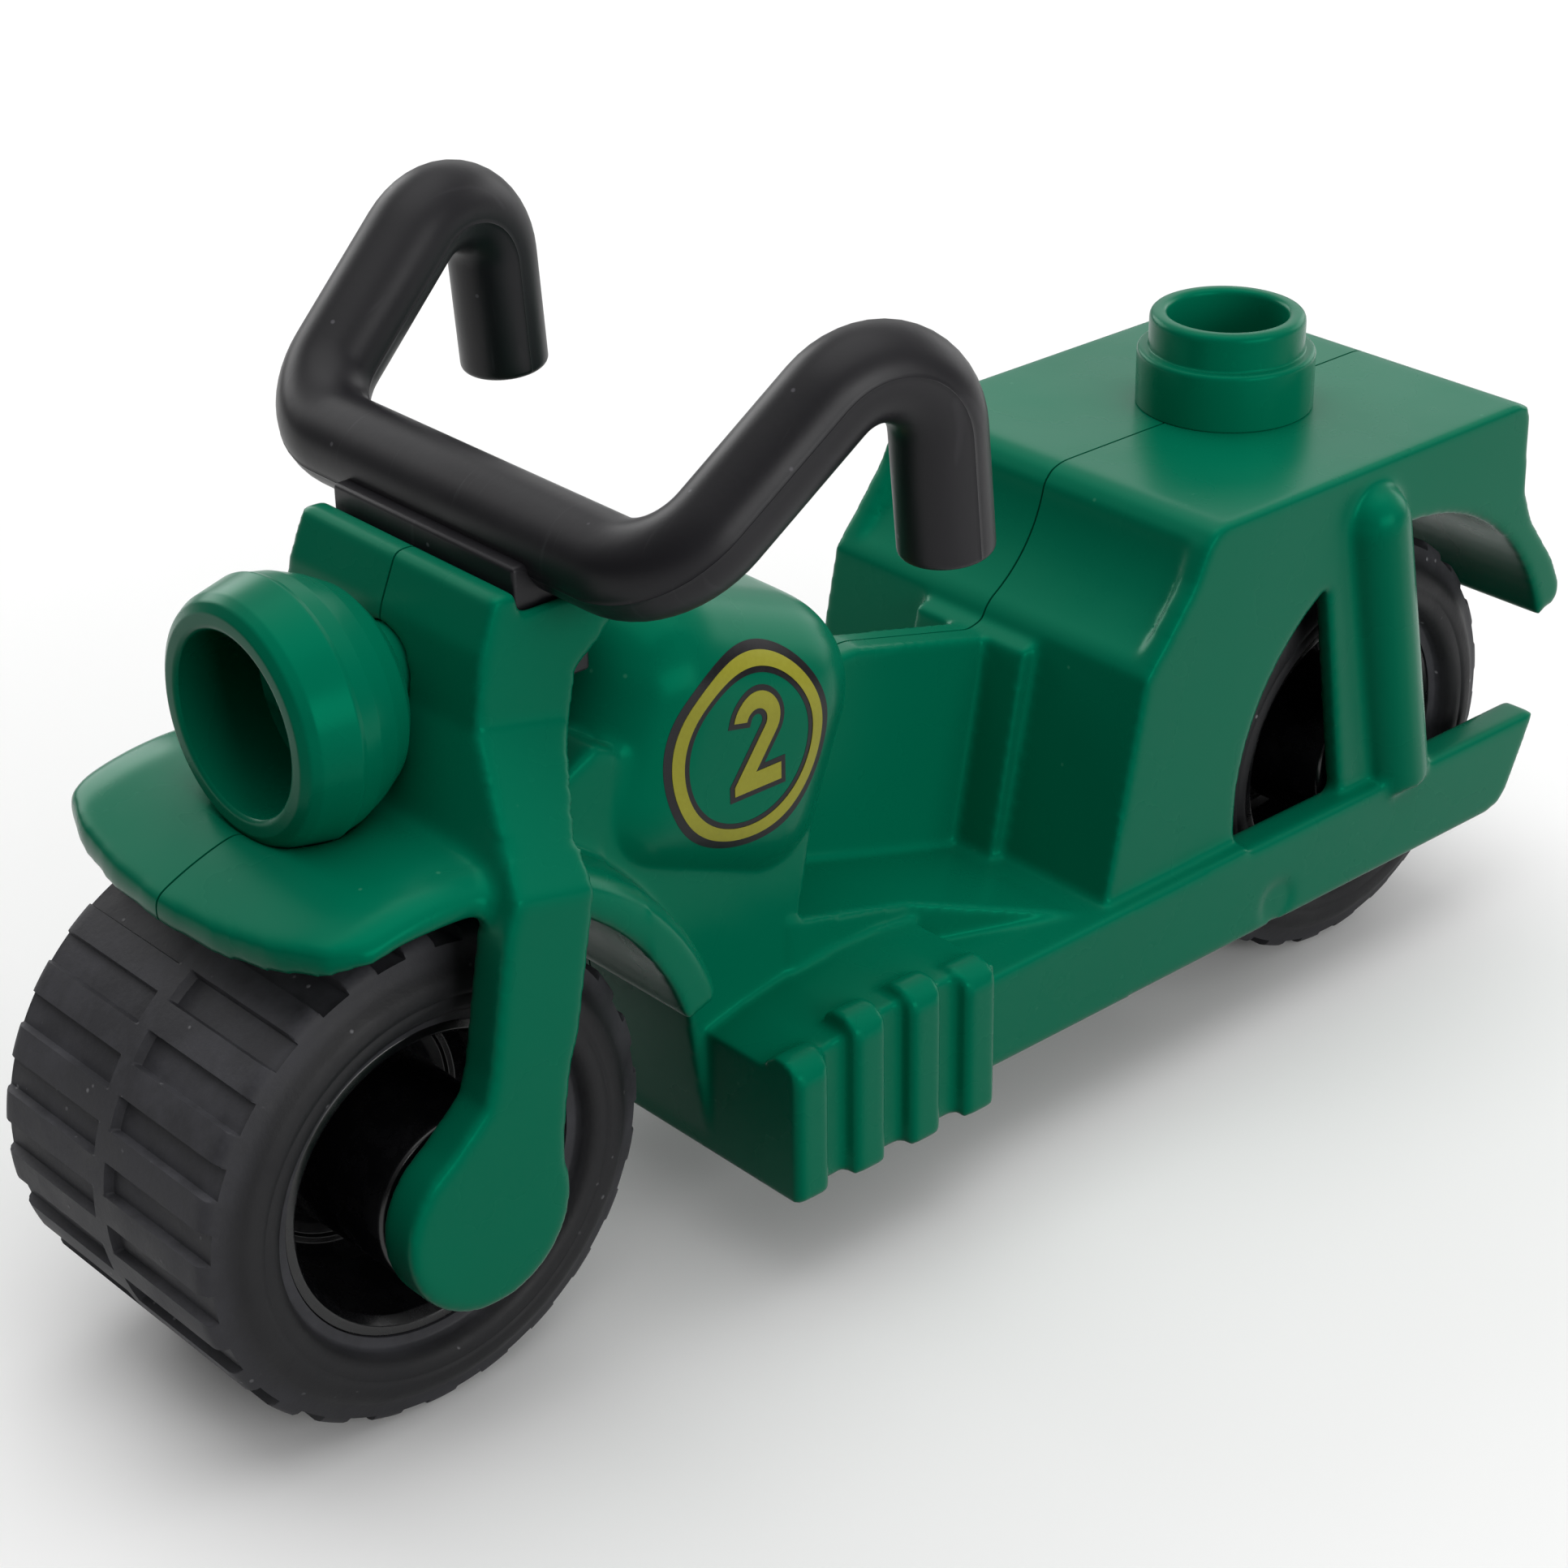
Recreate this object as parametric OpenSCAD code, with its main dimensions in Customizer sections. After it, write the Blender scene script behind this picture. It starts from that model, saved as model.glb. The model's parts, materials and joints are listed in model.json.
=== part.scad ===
// Toy motorcycle for a pre-school building set. Front is -Y, its own left is +X, ground is z = 0.

/* [Overall] */
// distance between the two axles
wheelbase = 70; // [60:0.5:84]
// width of the moulded box over the rear wheel
box_w = 25.8; // [25:0.2:31]
// height of the flat deck above the top of the rear wheel arch
deck_t = 4.85; // [4.4:0.05:6]
// distance the tail reaches behind the rear axle
tail_l = 16.3; // [15.6:0.1:19.6]

/* [Wheels] */
// outer radius of both tyres
tyre_r = 13.6; // [12.4:0.1:16.4]
// width of both tyres over the sidewalls
tyre_w = 20.24; // [17:0.02:20.6]
// number of sunk tread pads around each side of a tyre
tread_n = 24; // [16:1:30]
// depth of the sunk tread pads
tread_d = 0.55; // [0.3:0.05:0.9]
// radius of the plain axle pins
axle_r = 2.0; // [1.6:0.05:2.4]
// radius of the hub collar on each rim
hub_r = 4.75; // [4.2:0.05:5.4]
// radius where the tyre grips the rim
rim_r = 8.7; // [8.2:0.05:9.2]

/* [Front end] */
// half width over the two fork legs
fork_hw = 14.2; // [13.6:0.1:15.4]
// radius of the round boss at the foot of each fork leg
boss_r = 4.95; // [4.4:0.05:5.6]
// half width of the front mudguard
guard_hw = 12.4; // [11.6:0.1:13.2]
// radial gap between the front tyre and its mudguard
guard_gap = 2.4; // [2:0.1:3]
// radius of the open mouth of the headlamp
lamp_r = 4.95; // [4:0.05:5.4]
// outer radius at the back edge of the headlamp rim
lamp_rim_r = 6.95; // [6.6:0.05:7.8]

/* [Handlebar] */
// radius of the handlebar tube
bar_r = 2.52; // [2.1:0.02:3]
// distance from the middle to the centre of each grip
grip_x = 17.5; // [15.5:0.1:20.5]
// length of each grip below its top bend
grip_l = 11.4; // [9.4:0.1:13]
// height of the straight middle of the bar above the front axle
bar_rise = 30.7; // [30.7:0.05:31.8]

/* [Footrests] */
// half width over the ribbed footrests
foot_hw = 16; // [15:0.1:18]
// number of upright ribs on each footrest
rib_n = 4; // [3:1:5]
// width of one rib
rib_w = 2.35; // [1.8:0.05:2.6]
// height of the underside above the ground
belly_z = 6.7; // [5.6:0.1:8]

/* [Building stud] */
// radius of the upper ring of the stud
stud_r = 4.7; // [4.5:0.05:5]
// height of the upper ring of the stud
stud_h = 2.24; // [1.8:0.02:2.8]
// radius of the drum below the ring
drum_r = 5.38; // [5.2:0.02:6]
// height of the drum below the ring
drum_h = 3.55; // [3:0.05:4.3]
// radius of the hole down the middle of the stud
stud_bore_r = 3.63; // [3.1:0.01:3.8]

/* [Fits] */
// radial running clearance between each axle and its sockets
run_gap = 0.05; // [0.03:0.01:0.1]
// gap around the parts trapped between the two shells
trap_gap = 0.04; // [0.02:0.01:0.08]

/* [Hidden] */
$fn = 96;
axle_z = tyre_r;
length = tyre_r + wheelbase + tail_l;
front_y = -length / 2 + tyre_r;
rear_y = front_y + wheelbase;
box_hw = box_w / 2;
tyre_hw = tyre_w / 2;
// free half width around the wheels, inside fork legs and box walls
well_hw = tyre_hw + 1.48;
hub_x = well_hw - 0.25;
leg_in = well_hw;
arch_r = tyre_r + 0.9;
arch_y = 0.4;
arch_z = axle_z + 1.4;
deck_z = arch_z + arch_r + deck_t;
guard_in = tyre_r + guard_gap;
guard_out = guard_in + 2;
guard_shift = 1;
rail_hw = box_hw + 1.1;
rail_z = 13.2;
wall = 2;
far = 60;
stud_y = rear_y - 2;
stud_neck_r = 4.2;
stud_flange_r = 5.2;
stud_flange_h = 1.3;
lamp_z = axle_z + 23.3;
lamp_neck_r = 2.6;
lamp_flange_r = 3.6;
lamp_flange_y = 6.2;
lamp_flange_t = 1.4;
socket_end = fork_hw - 1.6;
rear_socket_end = box_hw - 0.4;
seat_a = rear_y - 25.2;
bar_y = 11.5;
bar_z = axle_z + bar_rise;
// radii of the bar's two bends on each side
bar_bend = 4.6;
grip_bend = 3.9;
// slot in the crown for the tab of the handlebar: half width, front, thickness and depth below the tube
slot_hw = 7.4;
slot_y = 8.2;
slot_t = 4.6;
slot_d = 7.2;
// where the neck of the headlamp starts, and how long it is
lamp_neck_y = 3;
lamp_neck_l = 4.2;
// turn of the front wheel in the rest position, in degrees
front_turn = 6.5;
rib_pitch = (14.65 - rib_w) / (rib_n - 1);

// ---------- helpers ----------

// side outline given as [y, z] points, made into a slab from x0 to x1
module slab(x0, x1, pts) {
    translate([x0, 0, 0]) rotate([90, 0, 90]) linear_extrude(x1 - x0) polygon(pts);
}

// plain round bar lying along X from x0 to x1
module xrod(x0, x1, r, y, z) {
    translate([x0, y, z]) rotate([0, 90, 0]) cylinder(h = x1 - x0, r = r);
}

// shape of revolution about X, outline given as [x, r] points
module xturn(pts) {
    rotate([0, 90, 0]) rotate_extrude() polygon([for (p = pts) [p[1], p[0]]]);
}

function unit(v) = v / norm(v);

// turn that carries the x, y, z axes onto u, v, w
function turn_to(u, v, w) = [atan2(v[2], w[2]), -asin(u[2]), atan2(u[1], u[0])];

// straight round bar from a to b
module rod(a, b, r) {
    d = b - a;
    translate(a) rotate([0, acos(d[2] / norm(d)), atan2(d[1], d[0])]) cylinder(h = norm(d), r = r);
}

// straight round bar from a to b with a round dome on the end at b
module domed_rod(a, b, r) {
    d = b - a;
    translate(a) rotate([0, acos(d[2] / norm(d)), atan2(d[1], d[0])]) rotate_extrude()
        polygon(concat([[0, 0], [r, 0]], [for (t = [0 : 10 : 80]) [r * cos(t), norm(d) + r * sin(t)]],
            [[0, norm(d) + r]]));
}

// distance from a bend's corner to where the bend begins
function bend_cut(a, b, c, rad) = rad * tan(acos(unit(b - a) * unit(c - b)) / 2);

// round bend of a bar of radius r whose straight parts would meet at b
module bend(a, b, c, rad, r) {
    d0 = unit(b - a);
    d1 = unit(c - b);
    w = unit(cross(d0, d1));
    inward = cross(w, d0);
    start = b - d0 * bend_cut(a, b, c, rad);
    translate(start + inward * rad) rotate(turn_to(-inward, d0, w))
        rotate_extrude(angle = acos(d0 * d1)) translate([rad, 0]) circle(r = r, $fn = 64);
}

// ---------- front half of the shell, y measured from the front axle ----------

// crown and fork leg together
module fork() {
    intersection() {
        slab(0, fork_hw, [[6.7, axle_z + 29.4], [5.6, axle_z + 26.8], [4.9, axle_z + 23],
            [1.8, axle_z + 15.4], [0.5, axle_z + 8], [-1.4, axle_z + 2], [3.6, axle_z + 2],
            [5.9, axle_z + 8.3],
            [7.2, axle_z + 15.4], [7.7, axle_z + 18.1], [9.3, axle_z + 20.2],
            [10.8, axle_z + 21.9], [11.3, axle_z + 24.2], [14.6, axle_z + 26.4],
            [14.6, axle_z + 28.2], [8.2, axle_z + 28.2], [8, axle_z + 29.4]]);
        // tilted like the steering axis, so the knee slopes down to the rear
        translate([0, 6, axle_z + 23]) rotate([-12, 0, 0]) translate([0, far / 2, 0])
            rotate([90, 0, 0]) linear_extrude(far)
                polygon([[0, -32], [fork_hw, -32], [fork_hw, -6.6], [8.3, -0.1], [7.9, 8], [0, 8]]);
    }
    xrod(leg_in, fork_hw, boss_r, 0, axle_z);
    // soft webs where the leg runs into the boss
    slab(leg_in, fork_hw, [[0.2, axle_z + 6.6], [-1.7, axle_z + 4.9], [-3.4, axle_z + 3.5],
        [0, axle_z + 1], [4.7, axle_z + 1.6], [4.85, axle_z + 3.6], [5.4, axle_z + 7]]);
}

// mudguard over the front wheel
module guard() {
    difference() {
        guard_band();
        // a little off centre, so the guard thins towards its front lip
        xrod(leg_in - 0.5, far, guard_in, -guard_shift, axle_z);
    }
}

module guard_band() {
    intersection() {
        translate([0, 0, axle_z]) xturn([[0, tyre_r], [guard_hw, tyre_r],
            [guard_hw, guard_out - 1], [guard_hw - 1, guard_out - 0.25],
            [guard_hw - 3, guard_out], [0, guard_out]]);
        slab(0, guard_hw, [[0, axle_z], [-far * 0.5, axle_z + far * 0.83], [far, axle_z + far],
            [far, axle_z + far * 0.33]]);
        linear_extrude(far) polygon([[0, -8.7], [4.5, -8.4], [8.4, -7.7], [11.2, -6.5],
            [guard_hw + 0.1, -4.6], [guard_hw + 0.1, 19], [guard_hw - 1, 20], [0, 20]]);
    }
}

// rounded tank between handlebar and seat
module tank(grow = 0) {
    translate([0, 22.9, axle_z + 15.5]) rotate([-22, 0, 0]) hull()
        for (x = [-4.55, 4.55], y = [-6, 1.5], z = [-2.75, 2.75])
            translate([x, y, z]) sphere(r = 5.35 + grow, $fn = 36);
}

// body under the tank, ending in the slanted front wall of the seat
module under_tank() {
    slab(0, 8.6, [[7, axle_z + 17.5], [12, axle_z + 20], [26.9, axle_z + 12], [25.3, axle_z + 4.6],
        [25.3, belly_z + 1], [18.5, belly_z + 1], [17.2, axle_z + 5]]);
}

// block that carries the footrest, with its ribs
module footrest() {
    top = [[18.5, axle_z + 0.7], [21, axle_z + 1.35], [24, axle_z + 1.85], [27.5, axle_z + 2.05],
        [31, axle_z + 1.85], [33.9, axle_z + 1.35]];
    slab(0, foot_hw - 1, concat([[18.5, belly_z]], top, [[33.9, belly_z]]));
    for (i = [0 : rib_n - 1])
        translate([foot_hw - 2.6, 18.5 + rib_w / 2 + i * rib_pitch, belly_z]) {
            h = axle_z + [1.6, 2.7, 2.7, 2.2, 2.2][i] - belly_z;
            intersection() {
                linear_extrude(h) polygon([[0, -rib_w / 2], [2.2, -rib_w / 2], [2.5, -rib_w / 2 + 0.15],
                    [2.6, -rib_w / 2 + 0.45], [2.6, rib_w / 2 - 0.45], [2.5, rib_w / 2 - 0.15],
                    [2.2, rib_w / 2], [0, rib_w / 2]]);
                translate([0, rib_w, 0]) rotate([90, 0, 0]) linear_extrude(2 * rib_w)
                    polygon([[0, 0], [2.4, 0], [2.6, 0.2], [2.6, h - 1.1], [2.3, h - 0.5],
                        [1.7, h - 0.1], [1.2, h], [0.6, h - 0.05], [0, h - 0.5]]);
            }
        }
}

// ---------- rear half of the shell, y measured from the rear axle ----------

// box over the rear wheel with its flared tail
module box() {
    slab(0, box_hw, [[-25.2, rail_z - 1], [-25.2, rail_z], [-22.3, 26.8], [-20.5, 28.9],
        [-18.6, 31.3], [-17.6, deck_z - 1], [-16.9, deck_z - 0.25], [-16, deck_z],
        [tail_l - 5.8, deck_z], [tail_l - 5, deck_z - 0.3], [tail_l - 4.7, deck_z - 1],
        [tail_l - 4.5, deck_z - 6], [tail_l - 3.6, deck_z - 8.2], [tail_l - 1, deck_z - 11.6],
        [tail_l - 0.1, deck_z - 13.4], [tail_l, deck_z - 14.2], [tail_l - 0.5, deck_z - 14.9],
        [tail_l - 1.4, deck_z - 15], [10, arch_z], [-12, arch_z - 4], [-12, rail_z - 1]]);
}

// side rail running along the bottom to its upturned end
module rail() {
    slab(0, rail_hw, [[-38, belly_z + 0.65], [9.2, belly_z + 0.55], [10.4, belly_z + 0.85],
        [11.1, belly_z + 1.6], [13.2, belly_z + 6], [13.3, belly_z + 7.2],
        [12.8, belly_z + 8.1], [11.8, belly_z + 8.5],
        [10.6, belly_z + 8.4], [4, rail_z + 0.5], [-38, rail_z]]);
}

// tilted seat floor with its stepped edge, y in the whole bike's frame
module seat_floor() {
    f = front_y;
    intersection() {
        translate([0, 0, belly_z + 1]) linear_extrude(far)
            polygon([[0, f + 24.5], [8.8, f + 24.5], [8.3, f + 33.7], [box_hw, seat_a], [box_hw, seat_a + 4],
                [0, seat_a + 4]]);
        slab(0, box_hw, [[f + 24, belly_z], [f + 24, axle_z + 5.3], [seat_a, rail_z - 0.3],
            [seat_a + 4, rail_z - 0.3], [seat_a + 4, belly_z]]);
    }
}

// thin upright wall in the middle of the seat, and the pad on the seat back
module spine() {
    f = front_y;
    slab(0, 1.4, [[f + 24, rail_z], [f + 24, axle_z + 14.8], [f + 36.6, axle_z + 14.8],
        [seat_a + 1.5, axle_z + 12.4], [seat_a + 2.2, axle_z + 11.8], [seat_a + 3, rail_z]]);
    slab(0, 4.5, [[seat_a - 0.9, rail_z - 0.5], [seat_a + 1.6, 26], [seat_a + 3, 26.3],
        [seat_a + 3, rail_z - 0.5]]);
}

// round strut standing on the rail and the bearing web behind it
module strut() {
    foot = [box_hw - 0.25, 0.7, rail_z - 0.6];
    head = [box_hw - 0.25, -2.9, arch_z + arch_r + 1.2];
    intersection() {
        domed_rod(foot, head, 2.3);
        // flat towards the wheel
        translate([well_hw, -far, 0]) cube(2 * far);
    }
    slab(well_hw, box_hw, [[-4.2, rail_z - 2], [-7.2, arch_z + arch_r + 0.4],
        [-1.6, arch_z + arch_r + 1], [2.8, rail_z - 2]]);
    xrod(well_hw, box_hw, 3.4, 0, axle_z);
}

// ---------- the two shells ----------

// everything that makes the left shell solid
module shell_solid() {
    translate([0, front_y, 0]) {
        difference() {
            union() {
                fork();
                guard();
                under_tank();
            }
            // room for the wheel
            xrod(-1, leg_in, guard_in, -guard_shift, axle_z);
        }
        footrest();
        intersection() {
            tank();
            translate([0, -far, 0]) cube([far, 2 * far, far]);
        }
    }
    difference() {
        union() {
            difference() {
                translate([0, rear_y, 0]) box();
                // sunk, slightly hollow panel on the slanted front of the box
                xrod(-1, box_hw - 1.4, 8.7, rear_y - 26.1, 34.95);
            }
            translate([0, rear_y, 0]) rail();
            seat_floor();
        }
        // space for the rear wheel and the open arch in the side wall
        translate([0, rear_y, 0]) {
            intersection() {
                xrod(-1, far, arch_r, arch_y, arch_z);
                translate([-2, -far, rail_z]) cube([2 * far, 2 * far, far]);
            }
            xrod(-1, well_hw, arch_r, arch_y, arch_z);
            translate([-1, arch_y - arch_r, -1]) cube([well_hw + 1, 40, arch_z + 1]);
        }
    }
    spine();
    translate([0, rear_y, 0]) strut();
}

// closed hollows inside the shell
module shell_hollow() {
    translate([0, rear_y, 0]) difference() {
        slab(-1, box_hw - wall, [[-23, belly_z + wall], [-22.7, 15], [-20.2, 26.2], [-18.2, 28.4],
            [-16.4, 30.6], [-15.2, deck_z - wall], [-9, deck_z - wall], [-9, belly_z + wall]]);
        xrod(-2, far, arch_r + 1.6, arch_y, arch_z);
        translate([-2, arch_y - arch_r - 1.6, 0]) cube([far, 40, arch_z]);
    }
    slab(-1, 8.2 - wall, [[front_y + 20.5, belly_z + wall], [front_y + 20.5, axle_z + 3],
        [seat_a + 1, rail_z - 2.6], [seat_a + 2.4, belly_z + wall]]);
    translate([0, front_y, 0]) {
        slab(-1, foot_hw - 3.6, [[20.5, belly_z + wall], [20.5, axle_z - 1], [31.9, axle_z - 1],
            [31.9, belly_z + wall]]);
        slab(-1, 6.4, [[21, axle_z + 2], [21, axle_z + 8], [24.4, axle_z + 8], [23.2, axle_z + 2]]);
        difference() {
            tank(-2);
            translate([-1, -far, axle_z + 25.2]) cube([far, 2 * far, far]);
            translate([-1, -far, 0]) cube([far, far + 14, far]);
        }
    }
}

// one shell; the other is its mirror image, joined to it on the plane x = 0
module shell() {
    difference() {
        shell_solid();
        intersection() {
            shell_hollow();
            translate([-0.5, -far, 0]) cube([far, 2 * far, far]);
        }
        // blind sockets for the axles
        xrod(0, socket_end, axle_r + run_gap, front_y, axle_z);
        xrod(0, rear_socket_end, axle_r + run_gap, rear_y, axle_z);
        // seat of the stud: neck through the deck, flange in a groove under it
        translate([0, stud_y, deck_z - wall - 1]) cylinder(h = wall + 2, r = stud_neck_r + trap_gap);
        translate([0, stud_y, deck_z - wall - stud_flange_h - trap_gap])
            cylinder(h = stud_flange_h + 2 * trap_gap, r = stud_flange_r + trap_gap);
        // seat of the headlamp: neck through the crown, flange in a groove behind it
        translate([0, front_y + lamp_neck_y, lamp_z]) rotate([-90, 0, 0])
            cylinder(h = lamp_neck_l, r = lamp_neck_r + trap_gap);
        translate([0, front_y + lamp_flange_y - trap_gap, lamp_z]) rotate([-90, 0, 0])
            cylinder(h = lamp_flange_t + 2 * trap_gap, r = lamp_flange_r + trap_gap);
        // hollow in the crown and mudguard that the dome of the headlamp nestles in
        translate([0, front_y, lamp_z]) rotate([-90, 0, 0]) lamp_dome(2 * trap_gap);
        // slot for the tab of the handlebar and the groove its tube lies in
        translate([-1, front_y + slot_y, bar_z - slot_d]) cube([slot_hw + 1 + trap_gap, slot_t, 20]);
        xrod(-1, far, bar_r + trap_gap, front_y + bar_y, bar_z);
        // shallow round mark on the rail
        xrod(rail_hw - 0.15, far, 1.5, rear_y - 11.2, belly_z + 2);
        // nothing beyond the joint plane
        translate([-far, -2 * far, -1]) cube([far, 4 * far, 2 * far]);
    }
}

module left_shell() {
    color("#006b4b") shell();
}

module right_shell() {
    color("#006b4b") mirror([1, 0, 0]) shell();
}

// ---------- parts trapped between the shells ----------

module stud_post() {
    color("#00704f") translate([0, stud_y, deck_z]) difference() {
        union() {
            rotate_extrude() polygon([[0, 0], [drum_r, 0], [drum_r, drum_h - 0.3], [drum_r - 0.3, drum_h],
                [stud_r, drum_h], [stud_r, drum_h + stud_h - 0.4], [stud_r - 0.4, drum_h + stud_h],
                [0, drum_h + stud_h]]);
            translate([0, 0, -wall - 0.1]) cylinder(h = wall + 0.2, r = stud_neck_r);
            translate([0, 0, -wall - stud_flange_h]) cylinder(h = stud_flange_h, r = stud_flange_r);
        }
        translate([0, 0, 0.4]) cylinder(h = far, r = stud_bore_r);
    }
}

// outside of the headlamp from its rim to the back of its dome; grow makes the room for it
module lamp_dome(grow = 0) {
    rotate_extrude() polygon([[0, -3.5], [lamp_r + 0.35 + grow, -3.5], [lamp_rim_r - 0.8 + grow, -3.3],
        [lamp_rim_r - 0.5 + grow, -2.8], [lamp_rim_r + grow, -0.7], [lamp_rim_r - 0.1 + grow, -0.45],
        [lamp_rim_r - 0.3 + grow, 0.6], [lamp_rim_r - 0.8 + grow, 1.9 + grow],
        [lamp_rim_r - 1.5 + grow, 3.1 + grow], [lamp_rim_r - 2.4 + grow, 3.9 + grow], [0, 3.9 + grow]]);
}

module headlamp_cup() {
    color("#00704f") translate([0, front_y, lamp_z]) rotate([-90, 0, 0]) difference() {
        union() {
            lamp_dome();
            translate([0, 0, lamp_neck_y]) cylinder(h = lamp_neck_l, r = lamp_neck_r);
            translate([0, 0, lamp_flange_y]) cylinder(h = lamp_flange_t, r = lamp_flange_r);
        }
        translate([0, 0, -5]) cylinder(h = 7, r = lamp_r);
        // conical floor with its facets
        translate([0, 0, 1.9]) cylinder(h = 1.1, r1 = lamp_r, r2 = 1.4, $fn = 12);
    }
}

// handlebar tube from where its middle part begins to bend, to the end of the grip
module bar_half() {
    a = [0, bar_y, bar_z];
    b = [grip_x - 2.7, bar_y, bar_z];
    c = [grip_x, bar_y + 14.5, bar_z + 12.4];
    d = [grip_x + 0.2, bar_y + 15.7, bar_z + 12.4 - grip_l - 2.8];
    k1 = bend_cut(a, b, c, bar_bend);
    k2 = bend_cut(b, c, d, grip_bend);
    // straight parts run a little way into the bends and are a hair thinner there
    in = 0.2;
    rod(a - [0.5, 0, 0], b - unit(b - a) * (k1 - in), bar_r - 0.015);
    bend(a, b, c, bar_bend, bar_r);
    rod(b + unit(c - b) * (k1 - in), c - unit(c - b) * (k2 - in), bar_r - 0.015);
    bend(b, c, d, grip_bend, bar_r);
    rod(c + unit(d - c) * (k2 - in), d, bar_r - 0.015);
}

module handlebar() {
    color("#29282c") translate([0, front_y, 0]) {
        bar_half();
        mirror([1, 0, 0]) bar_half();
        translate([-slot_hw, slot_y + trap_gap, bar_z - slot_d + trap_gap])
            cube([2 * slot_hw, slot_t - 2 * trap_gap, 6.8]);
    }
}

// ---------- wheels ----------

module tyre() {
    e = tyre_hw;
    r = tyre_r;
    color("#2c2c30") difference() {
        xturn([[-e + 1.2, r - 0.3], [-e + 1.5, r], [e - 1.5, r], [e - 1.2, r - 0.3], [e - 1, r - 0.8],
            [e - 0.35, r - 1.7], [e, r - 2.5], [e, rim_r + 1.2], [e - 0.4, rim_r + 0.8],
            [e - 1.15, rim_r + 0.65], [e - 1.15, rim_r], [-e + 1.15, rim_r], [-e + 1.15, rim_r + 0.65],
            [-e + 0.4, rim_r + 0.8], [-e, rim_r + 1.2], [-e, r - 2.5], [-e + 0.35, r - 1.7],
            [-e + 1, r - 0.8]]);
        for (i = [0 : tread_n - 1], s = [0, 1])
            rotate([(i + s / 2) * 360 / tread_n, 0, 0])
                translate([s == 0 ? 0.55 : -e - 1, -r * PI / tread_n / 2, r - tread_d])
                    cube([e + 0.45, r * PI / tread_n, 2]);
    }
}

module rim() {
    e = tyre_hw;
    color("#161619") xturn([[-hub_x, axle_r], [-hub_x, hub_r - 0.3], [-hub_x + 0.3, hub_r],
        [-2.4, hub_r + 0.2], [-1.9, hub_r + 0.9], [-1.9, rim_r - 2.1], [-2.4, rim_r - 1.6],
        [-e + 1.7, rim_r - 0.9],
        [-e + 1.2, rim_r - 0.5], [-e + 1.2, rim_r], [e - 1.2, rim_r], [e - 1.2, rim_r - 0.5],
        [e - 1.7, rim_r - 0.9], [2.4, rim_r - 1.6], [1.9, rim_r - 2.1], [1.9, hub_r + 0.9],
        [2.4, hub_r + 0.2], [hub_x - 0.3, hub_r], [hub_x, hub_r - 0.3], [hub_x, axle_r]]);
}

module pin(end) {
    c = 0.3;
    color("#3a3a3e") xturn([[-end, 0], [-end, axle_r - c], [-end + c, axle_r], [end - c, axle_r],
        [end, axle_r - c], [end, 0]]);
}

module front_tyre() {
    translate([0, front_y, axle_z]) rotate([front_turn, 0, 0]) tyre();
}

module front_rim() {
    translate([0, front_y, axle_z]) rotate([front_turn, 0, 0]) rim();
}

module front_axle() {
    translate([0, front_y, axle_z]) pin(socket_end - 0.15);
}

module rear_tyre() {
    translate([0, rear_y, axle_z]) tyre();
}

module rear_rim() {
    translate([0, rear_y, axle_z]) rim();
}

module rear_axle() {
    translate([0, rear_y, axle_z]) pin(rear_socket_end - 0.15);
}

left_shell();
right_shell();
stud_post();
headlamp_cup();
handlebar();
front_tyre();
front_rim();
front_axle();
rear_tyre();
rear_rim();
rear_axle();
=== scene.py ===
# Toy motorcycle from a pre-school building set: front is -Y, its own left is +X, it stands on z = 0.
import json
import math
import bmesh
import bpy
import numpy as np
from mathutils import Matrix, Vector
from mathutils.bvhtree import BVHTree


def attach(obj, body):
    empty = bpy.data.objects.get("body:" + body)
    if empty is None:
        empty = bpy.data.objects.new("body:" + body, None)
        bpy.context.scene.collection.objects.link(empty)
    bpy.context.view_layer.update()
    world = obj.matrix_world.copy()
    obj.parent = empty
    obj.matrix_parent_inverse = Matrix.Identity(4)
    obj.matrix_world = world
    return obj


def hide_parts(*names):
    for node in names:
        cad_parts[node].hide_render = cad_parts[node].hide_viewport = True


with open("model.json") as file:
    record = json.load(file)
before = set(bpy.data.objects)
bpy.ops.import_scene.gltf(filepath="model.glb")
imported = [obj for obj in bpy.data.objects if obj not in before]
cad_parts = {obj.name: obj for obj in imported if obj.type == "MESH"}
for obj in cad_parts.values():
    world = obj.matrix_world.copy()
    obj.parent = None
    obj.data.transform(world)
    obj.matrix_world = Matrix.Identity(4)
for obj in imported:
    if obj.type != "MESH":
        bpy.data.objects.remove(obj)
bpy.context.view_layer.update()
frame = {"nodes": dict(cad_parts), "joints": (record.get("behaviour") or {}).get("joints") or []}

# ---------- camera, table and studio light ----------
# The bike stands on a pale matt board. Soft boxes hang above it and stand left, right and behind, none
# in front; the room glows overhead and fades to nothing at table height, but its far wall looks pale.

mm = 0.001
scene = bpy.context.scene
scene.view_settings.view_transform = "Standard"

lens = bpy.data.cameras.new("studio_camera")
lens.lens = 80.2
lens.sensor_width = 36
lens.shift_x = -0.0272
lens.shift_y = -0.0156
lens.clip_start = 0.01
camera = bpy.data.objects.new("studio_camera", lens)
scene.collection.objects.link(camera)
scene.camera = camera
aim = Vector((0, -1.15, 21.42)) * mm
stand = Vector((130.34, -119.72, 112.32)) * mm
back = (stand - aim).normalized()
level = Vector((0, 0, 1)).cross(back).normalized()
side = Matrix.Rotation(math.radians(-0.4432), 3, back) @ level
camera.matrix_world = (Matrix.Translation(stand)
                       @ Matrix((side, back.cross(side), back)).transposed().to_4x4())


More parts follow.
